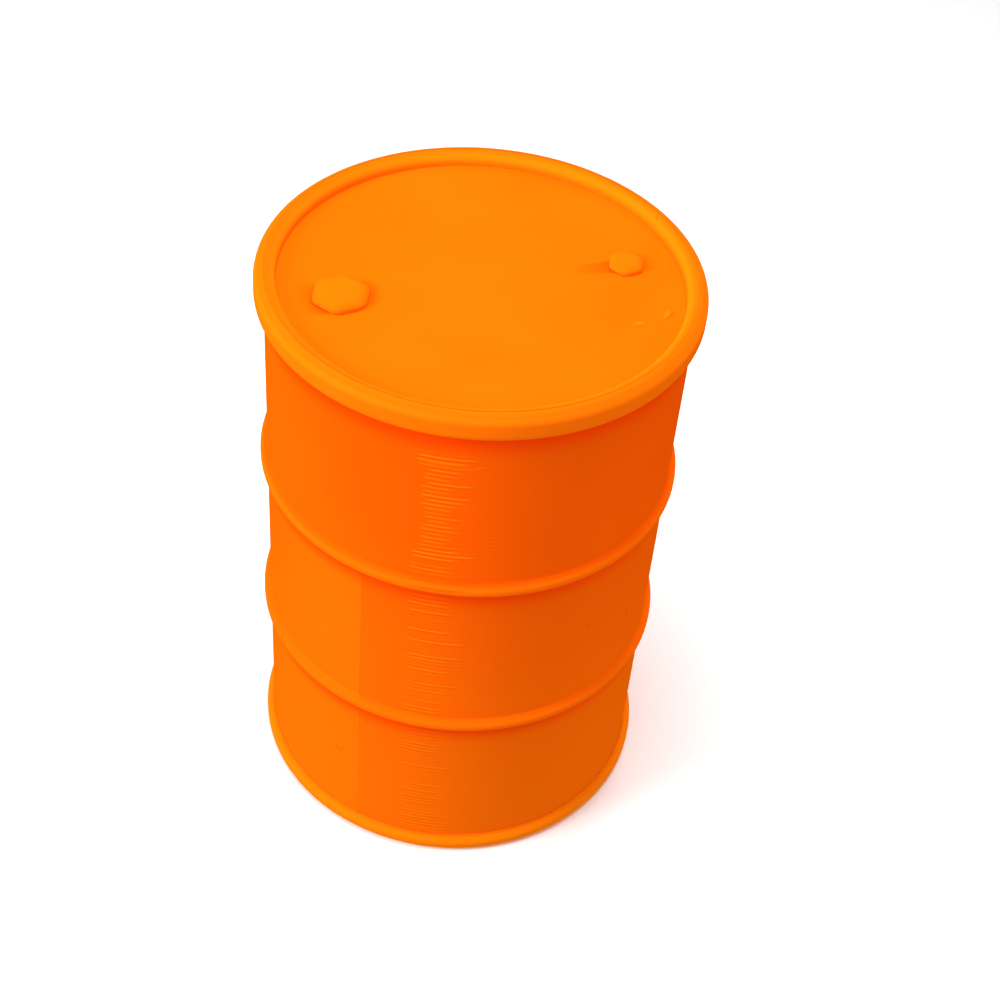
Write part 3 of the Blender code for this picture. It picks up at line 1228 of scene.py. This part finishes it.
@dataclass
class Closure:
    """A threaded flange in the top head, and the hexagonal plug and the seals that close it.

    Attributes:
        key: The word that begins the names of its nodes.
        enamel: The plug's finish.
        zinc: The flange's finish.
        rubber: The seals' finish.
        panel: The height of the head's panel, which the other heights are measured from.
        hole: The radius of the hole in the head.
        bore: The pitch radius of the flange's thread.
        barrel: The outer radius of the flange's barrel.
        base: The radius of the flange's base.
        lip: The radius of the rolled lip.
        shank: The pitch radius of the plug's thread.
        shank_bore: The radius of the plug's hollow.
        pocket: The radius of the pocket in the plug's head that takes the lip and the seal.
        seal_radii: The inner and the outer radius of the plug's seal.
        seal_thickness: The thickness of the plug's seal.
        flats: The plug's width across its flats.
        corner: The radius of the hexagon's corners.
        bevel: How far down the head its rounding reaches.
        slope: How far in from its edge the rounding reaches.
        pitch: The threads' pitch.
        depth: The threads' depth.
        around: The number of points round each piece.
        turned: The angle of the first of the plug's corners.
        edge: The size of a small edge.
        steps_in: How far out the rings on the flat of the plug's top lie, as shares of its radius.
        bevel_rings: How many rings the rounding has.
    """

    key: str
    enamel: bpy.types.Material
    zinc: bpy.types.Material
    rubber: bpy.types.Material
    panel: float
    hole: float
    bore: float
    barrel: float
    base: float
    lip: float
    shank: float
    shank_bore: float
    pocket: float
    seal_radii: tuple[float, float]
    seal_thickness: float
    flats: float
    corner: float
    bevel: float
    slope: float
    pitch: float
    depth: float
    around: int = 192
    turned: float = math.radians(27)
    edge: float = 0.0006
    steps_in: tuple[float, ...] = (0.05, 0.35, 0.65, 0.85)
    bevel_rings: int = 11

    def __post_init__(self) -> None:
        """Finds the closure's axis in the frame."""
        low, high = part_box(self.key + "_flange")
        self.centre = Vector(((low.x + high.x) / 2, (low.y + high.y) / 2, self.panel))

    def build(self) -> list[bpy.types.Object]:
        """Builds the flange, the plug and the plug's seal, and dresses the seal under the head.

        Returns:
            The three pieces that it builds.
        """
        hidden_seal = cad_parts[self.key + "_flange_gasket"]
        hidden_seal.material_slots[0].material = self.rubber
        return [self.flange(), self.plug(), self.seal()]

    def _height(self, node: str, corner: int) -> float:
        """The height of a node's lowest or highest corner above the head's panel."""
        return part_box(node)[corner].z - self.panel

    def _hexagon(self, angles: np.ndarray, inset: float) -> np.ndarray:
        """Finds the plug's outline.

        Args:
            angles: The angles.
            inset: How far inside the plug's edge the outline runs.

        Returns:
            The outline's radius at each angle.
        """
        flat, corner = self.flats / 2 - inset, self.corner - inset
        centre = (flat - corner) / math.cos(math.pi / 6)
        from_corner = (angles - self.turned + math.pi / 6) % (math.pi / 3) - math.pi / 6
        from_flat = math.pi / 6 - np.abs(from_corner)
        straight = flat / np.cos(from_flat)
        across = np.clip(corner**2 - (centre * np.sin(from_corner)) ** 2, 0, None)
        bent = centre * np.cos(from_corner) + np.sqrt(across)
        tangent = math.atan(centre * math.sin(math.pi / 6) / flat)
        return np.where(from_flat < tangent, straight, bent)

    def plug(self) -> bpy.types.Object:
        """Builds the plug: a hexagonal head that shrouds its seal, and a hollow threaded shank.

        Returns:
            The plug.
        """
        node = self.key + "_plug"
        foot, top, shank_foot = self.edge, self._height(node, 1), self._height(node, 0)
        skin = Skin(self.around, self.centre)
        for share in self.steps_in:
            skin.ring(self._hexagon(skin.angles, self.slope) * share, top)
        for turn in np.linspace(math.pi / 2, 0, self.bevel_rings):
            inset = self.slope * (1 - math.cos(turn))
            skin.ring(self._hexagon(skin.angles, inset), top - self.bevel * (1 - math.sin(turn)))
        chamfer = 0.0005
        skin.ring(self._hexagon(skin.angles, 0), foot + chamfer)
        skin.ring(self._hexagon(skin.angles, chamfer), foot)
        lip_top, clear = 0.0018, 0.0003
        roof = lip_top + self.seal_thickness + clear
        root, neck_drop, thread_drop = 0.0004, 0.0008, 0.001
        neck = self.shank - self.depth / 2
        skin.turn([
            Vector((self.pocket + chamfer, foot)),
            Vector((self.pocket, foot + chamfer)),
            Vector((self.pocket, roof)),
            Vector((self.shank + root, roof)),
            Vector((neck, roof - neck_drop)),
        ])
        low, high = shank_foot + self.edge, roof - thread_drop
        thread = Thread(self.shank, self.pitch, self.depth, low, high, Cut.SHANK)
        for radius, height in thread.rings(skin.angles):
            skin.ring(radius, height)
        head_thickness, hollow_turn = 0.003, 0.002
        crown = top - head_thickness
        skin.turn([
            Vector((neck - self.edge, shank_foot)),
            Vector((self.shank_bore + self.edge, shank_foot)),
            Vector((self.shank_bore, shank_foot + self.edge)),
            Vector((self.shank_bore, crown - hollow_turn)),
            Vector((self.shank_bore - hollow_turn, crown)),
            Vector((hollow_turn, crown)),
        ])
        made = skin.build(node + "_body", looped=False)
        dress(made, self.enamel, node)
        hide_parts(node)
        return made

    def seal(self) -> bpy.types.Object:
        """Builds the plug's seal ring, with rounded edges.

        Returns:
            The seal.
        """
        node = self.key + "_plug_gasket"
        low, high = self._height(node, 0), self._height(node, 1)
        inner, outer = self.seal_radii
        fillet = 0.0004
        corners = [
            Corner((inner + outer) / 2, high),
            Corner(outer, high, fillet),
            Corner(outer, low, fillet),
            Corner(inner, low, fillet),
            Corner(inner, high, fillet),
            Corner((inner + outer) / 2, high),
        ]
        skin = Skin(self.around, self.centre)
        skin.turn(rounded(corners)[:-1])
        made = skin.build(node + "_ring", looped=True)
        dress(made, self.rubber, self.key + "_gasket")
        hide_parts(node)
        return made

    def flange(self) -> bpy.types.Object:
        """Builds the flange: a base under the head, a threaded bore, and a neck rolled over as a lip.

        Returns:
            The flange.
        """
        node = self.key + "_flange"
        foot, top = self._height(node, 0), self._height(node, 1)
        base_top, base_foot, seat, gap, mouth = -0.0030, -0.0070, 0.0003, 0.0004, 0.001
        neck = self.hole - gap
        corners = [
            Corner(self.bore + mouth, top),
            Corner(self.lip, top, self.edge),
            Corner(self.lip, seat, self.edge / 2),
            Corner(neck, seat, self.edge / 2),
            Corner(neck, base_top, self.edge / 2),
            Corner(self.base, base_top, self.edge),
            Corner(self.base, base_foot, self.edge),
            Corner(self.barrel, base_foot, self.edge),
            Corner(self.barrel, foot, self.edge),
            Corner(self.bore + mouth, foot),
        ]
        skin = Skin(self.around, self.centre)
        skin.turn(rounded(corners, math.radians(15)))
        thread = Thread(self.bore, self.pitch, self.depth, foot + gap, top - gap, Cut.BORE)
        for radius, height in thread.rings(skin.angles)[::-1]:
            skin.ring(radius, height)
        made = skin.build(node + "_body", looped=True)
        dress(made, self.zinc, "drum")
        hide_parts(node)
        return made


@dataclass(frozen=True)
class Drop:
    """A flattened drop of paint.

    Attributes:
        place: On the wall, the angle from the front in degrees, and the height. On the panel, x and y.
        length: Its half length.
        width: Its half width.
        rise: How far it stands out.
        slant: Its slant from the level, in degrees.
    """

    place: Span
    length: float
    width: float
    rise: float
    slant: float


def outward(angle: float) -> Vector:
    """The level direction out of the drum, at an angle from the front towards +X."""
    return Vector((math.sin(angle), -math.cos(angle), 0.0))


@dataclass
class PaintMarks:
    """The drops and the fine runs that stand on the enamel of the shell and the top head.

    Attributes:
        finish: The enamel.
        panel: The height of the top head's panel.
        wall_radius: The outer radius of the shell's wall.
        wall_drops: The drops on the wall.
        panel_drops: The drops on the panel.
        runs: The first and last angle in degrees and the height of each run.
        run_half_width: Half the width of a run.
        run_rise: How far a run stands out.
        run_taper: The power by which a run thins out to its ends.
        drop_grid: How many steps a drop has from back to front, and round it.
        run_grid: How many steps a run has along it, and round it.
        points: The points of the marks made so far.
        faces: Their faces.
    """

    finish: bpy.types.Material
    panel: float
    wall_radius: float = 0.28695
    wall_drops: tuple[Drop, ...] = (
        Drop((58.7, 0.409), 0.0060, 0.0024, 0.0024, 25.0),
        Drop((40.0, 0.452), 0.0052, 0.0022, 0.0022, 35.0),
        Drop((22.3, 0.238), 0.0028, 0.0018, 0.0020, 0.0),
        Drop((-25.0, 0.2546), 0.0080, 0.0018, 0.0016, -4.0),
        Drop((-34.0, 0.159), 0.0075, 0.0018, 0.0012, -18.0),
    )
    panel_drops: tuple[Drop, ...] = (
        Drop((0.2455, -0.0415), 0.0105, 0.0048, 0.0022, 62.0),
        Drop((0.2083, -0.0654), 0.0075, 0.0045, 0.0012, 20.0),
    )
    runs: tuple[Triple, ...] = (
        (-10.5, 0.8, 0.7925),
        (1.7, 5.3, 0.7920),
        (-11.5, 0.0, 0.6475),
        (-14.0, 3.6, 0.4185),
        (-9.5, -1.0, 0.2210),
    )
    run_half_width: float = 0.0012
    run_rise: float = 0.0008
    run_taper: float = 0.4
    drop_grid: tuple[int, int] = (12, 24)
    run_grid: tuple[int, int] = (41, 12)
    points: list[list[float]] = field(default_factory=list, init=False)
    faces: list[tuple[int, ...]] = field(default_factory=list, init=False)

    def build(self) -> bpy.types.Object:
        """Builds the marks as closed mounds that sink a little into the sheet.

        Returns:
            The marks.
        """
        for drop in self.wall_drops:
            out = outward(math.radians(drop.place[0]))
            level = Vector((-out.y, out.x, 0.0))
            self._drop(drop, out * self.wall_radius + Vector((0, 0, drop.place[1])), level, out)
        for drop in self.panel_drops:
            self._drop(drop, Vector((*drop.place, self.panel)), Vector((1, 0, 0)), Vector((0, 0, 1)))
        for first, last, height in self.runs:
            self._run(math.radians(first), math.radians(last), height)
        made = piece("paint_marks", self.points, self.faces)
        dress(made, self.finish, "drum")
        return made

    def _drop(self, drop: Drop, place: Vector, level: Vector, out: Vector) -> None:
        """Adds a drop.

        Args:
            drop: The drop.
            place: Its middle, on the sheet.
            level: The direction that it lies along before it is slanted.
            out: The direction away from the sheet.
        """
        across = out.cross(level)
        turn = math.radians(drop.slant)
        along = level * math.cos(turn) + across * math.sin(turn)
        across = out.cross(along)
        rings = []
        steps, around = self.drop_grid
        for lift in np.linspace(-math.pi / 2, math.pi / 2, steps + 1)[1:-1]:
            flat = math.cos(lift)
            ring = []
            for turn in np.linspace(0, 2 * math.pi, around, endpoint=False):
                spot = along * math.cos(turn) * flat * drop.length
                spot += across * math.sin(turn) * flat * drop.width
                ring.append(place + spot + out * math.sin(lift) * drop.rise)
            rings.append(ring)
        self._close(rings, place - out * drop.rise, place + out * drop.rise)

    def _run(self, first: float, last: float, height: float) -> None:
        """Adds a fine level ridge, thin at both ends.

        Args:
            first: The angle where it starts.
            last: The angle where it ends.
            height: Its height.
        """
        rings = []
        steps, around = self.run_grid
        for share in np.linspace(0.0, 1.0, steps + 1)[1:-1]:
            out = outward(first + (last - first) * share)
            thick = math.sin(math.pi * share) ** self.run_taper
            ring = []
            for turn in np.linspace(0, 2 * math.pi, around, endpoint=False):
                radius = self.wall_radius + math.cos(turn) * self.run_rise * thick
                lift = math.sin(turn) * self.run_half_width * thick
                ring.append(out * radius + Vector((0, 0, height + lift)))
            rings.append(ring)
        ends = [outward(a) * self.wall_radius + Vector((0, 0, height)) for a in (first, last)]
        self._close(rings, *ends)

    def _close(self, rings: list[list[Vector]], start: Vector, end: Vector) -> None:
        """Adds a closed skin over rings.

        Args:
            rings: The rings.
            start: The pole before the first ring.
            end: The pole after the last ring.
        """
        self.faces += joined(len(self.points), len(rings), len(rings[0]), looped=False)
        self.points += [list(point) for ring in rings for point in ring]
        self.points += [list(start), list(end)]


# --------------------------------------------------------------------------------------------------
# The stage
# --------------------------------------------------------------------------------------------------


@dataclass(frozen=True)
class Lamp:
    """A soft round light that faces the drum's middle.

    Attributes:
        name: Its name.
        place: Where it stands.
        size: Its diameter.
        power: Its power in watts.
    """

    name: str
    place: Triple
    size: float
    power: float

    def build(self) -> None:
        """Adds the light."""
        lamp = bpy.data.lights.new(self.name, "AREA")
        lamp.shape = "DISK"
        lamp.size = self.size
        lamp.energy = self.power
        made = bpy.data.objects.new(self.name, lamp)
        bpy.context.scene.collection.objects.link(made)
        made.location = self.place
        target = Vector((0, 0, CAD_BOX[1].z / 2))
        made.rotation_euler = (target - made.location).to_track_quat("-Z", "Y").to_euler()


@dataclass
class Studio:
    """The pale floor, the soft lights and the camera.

    Attributes:
        floor_radii: The inner and the outer ring of the floor.
        floor_thickness: The floor's thickness.
        floor_around: The number of points round it.
        floor_patch: The size of its soft patches.
        floor_tints: The two colours of the patches.
        floor_rough: Its roughness.
        lamps: The lights.
        sky_above: The strength of the light from above the horizon.
        sky_below: The strength of the light from below it.
        horizon: Half the height in which the one turns into the other.
        camera_back: How far the camera stands in front of the drum's axis.
        camera_height: How high it stands.
        camera_down: The angle by which it looks down.
        camera_aside: The angle by which it looks aside, towards +X.
        camera_roll: The angle by which it is tilted.
        lens: Its focal length in millimetres.
    """

    floor_radii: Span = (0.5, 9.0)
    floor_thickness: float = 0.05
    floor_around: int = 96
    floor_patch: float = 0.4
    floor_tints: tuple[Colour, Colour] = ((0.93, 0.93, 0.925), (0.95, 0.95, 0.945))
    floor_rough: float = 0.7
    lamps: tuple[Lamp, ...] = (
        Lamp("top", (0.0, -0.10, 3.0), 1.6, 78.0),
        Lamp("back", (0.9, 2.9, 3.0), 1.8, 50.0),
        Lamp("key", (-2.5, -1.2, 2.0), 1.6, 96.0),
        Lamp("fill", (2.9, -1.7, 0.45), 1.0, 16.0),
        Lamp("front", (0.3, -2.6, 2.4), 2.0, 4.0),
    )
    sky_above: float = 0.36
    sky_below: float = 0.76
    horizon: float = 0.05
    camera_back: float = 1.8855
    camera_height: float = 2.2687
    camera_down: float = 0.7623
    camera_aside: float = 0.0274
    camera_roll: float = 0.0970
    lens: float = 63.60

    def build(self) -> None:
        """Builds the floor, the lights, the sky and the camera."""
        self._floor()
        for lamp in self.lamps:
            lamp.build()
        self._sky()
        self._camera()
        bpy.context.scene.view_settings.view_transform = "Standard"

    def _floor(self) -> None:
        """Builds a pale round floor that throws no light or shadow on the drum."""
        skin = Skin(self.floor_around)
        inner, outer = self.floor_radii
        under = -self.floor_thickness
        outline = ((inner, 0.0), (outer, 0.0), (outer, under), (inner, under))
        skin.turn([Vector(point) for point in outline])
        floor = skin.build("floor", looped=False)
        graph = Graph(bpy.data.materials.new("floor"))
        colour = graph.mix(graph.noise(self.floor_patch, 3.0), *self.floor_tints)
        floor.data.materials.append(graph.finish(Base_Color=colour, Roughness=self.floor_rough))
        floor.visible_diffuse = False
        floor.visible_shadow = False

    def _sky(self) -> None:
        """Builds an even white light from above the horizon, and another from below it."""
        graph = Graph(bpy.data.worlds.new("sky"))
        sockets = {
            "Value": graph.xyz()[2],
            "From Min": -self.horizon,
            "From Max": self.horizon,
            "To Min": self.sky_below,
            "To Max": self.sky_above,
        }
        strength = graph.value("ShaderNodeMapRange", {}, sockets)
        bpy.context.scene.world = graph.finish(Color=(1.0, 1.0, 1.0, 1.0), Strength=strength)

    def _camera(self) -> None:
        """Builds the camera, above and in front of the drum, and tilted a little."""
        lens = bpy.data.cameras.new("camera")
        lens.lens = self.lens
        made = bpy.data.objects.new("camera", lens)
        bpy.context.scene.collection.objects.link(made)
        down, aside = self.camera_down, self.camera_aside
        level = math.cos(down)
        ahead = Vector((math.sin(aside) * level, math.cos(aside) * level, -math.sin(down)))
        right = Vector((math.cos(aside), -math.sin(aside), 0.0))
        up = right.cross(ahead)
        turned_right = math.cos(self.camera_roll) * right + math.sin(self.camera_roll) * up
        turned_up = turned_right.cross(ahead)
        turn = Matrix((turned_right, turned_up, -ahead)).transposed()
        place = Vector((0.0, -self.camera_back, self.camera_height))
        made.matrix_world = Matrix.Translation(place) @ turn.to_4x4()
        bpy.context.scene.camera = made


# --------------------------------------------------------------------------------------------------
# The drum
# --------------------------------------------------------------------------------------------------


def closures(panel: float) -> list[Closure]:
    """Sizes the two closures of the top head.

    Args:
        panel: The height of the head's panel.

    Returns:
        The pour closure and the vent closure.
    """
    finishes = PlugEnamel().material(), ZincPlate().material(), Rubber().material()
    pour = Closure(
        "pour", *finishes, panel, hole=0.0314, bore=0.0294, barrel=0.0330, base=0.0400, lip=0.0336,
        shank=0.0290, shank_bore=0.0255, pocket=0.0344, seal_radii=(0.0298, 0.0334),
        seal_thickness=0.0020, flats=0.0720, corner=0.0180, bevel=0.0080, slope=0.0165,
        pitch=0.0022087, depth=0.0011,
    )
    vent = Closure(
        "vent", *finishes, panel, hole=0.0150, bore=0.0130, barrel=0.0160, base=0.0205, lip=0.0170,
        shank=0.0126, shank_bore=0.0098, pocket=0.0180, seal_radii=(0.0134, 0.0168),
        seal_thickness=0.0015, flats=0.0460, corner=0.0130, bevel=0.0066, slope=0.0120,
        pitch=0.0018143, depth=0.0009,
    )
    return [pour, vent]


def main() -> None:
    """Builds the drum and its stage."""
    logging.basicConfig(level=logging.INFO, format="%(message)s")
    Studio().build()
    head_paint = Enamel("head_enamel").material()
    chime_paint = ChimeEnamel().material()
    # Painted highlight: the drops and runs get a lighter copy of the enamel so that they show as lit.
    highlight_colours = (0.985, 0.124, 0.0014), (0.98, 0.116, 0.0012), (0.985, 0.130, 0.0016)
    mark_paint = Enamel("mark_enamel", *highlight_colours).material()
    compound = Rubber("seam_compound", (0.58, 0.50, 0.35), (0.66, 0.60, 0.47)).material()
    panel = End.TOP.height() - Head.recess
    both = closures(panel)
    top_ring = ChimeRing("top_chime_ring", chime_paint, 0.0400, 0.0372, 0.0115, 0.0140)
    bottom_ring = ChimeRing("bottom_chime_ring", chime_paint, 0.0238, 0.0215, 0.0085, 0.0115)
    made = [
        Shell(ShellEnamel("shell_enamel").material()).build(),
        Head("top_head", head_paint).build(End.TOP, [(c.centre, c.hole) for c in both]),
        Head("bottom_head", head_paint).build(End.BOTTOM, []),
        top_ring.build(End.TOP),
        bottom_ring.build(End.BOTTOM),
    ]
    for closure in both:
        made += closure.build()
    made.append(PaintMarks(mark_paint, panel).build())
    for node in ("top_seam_compound", "bottom_seam_compound"):
        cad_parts[node].material_slots[0].material = compound
        made.append(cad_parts[node])
    for part in made:
        LOG.info("%s: %d faces", part.name, len(part.data.polygons))


if __name__ == "__main__":
    main()
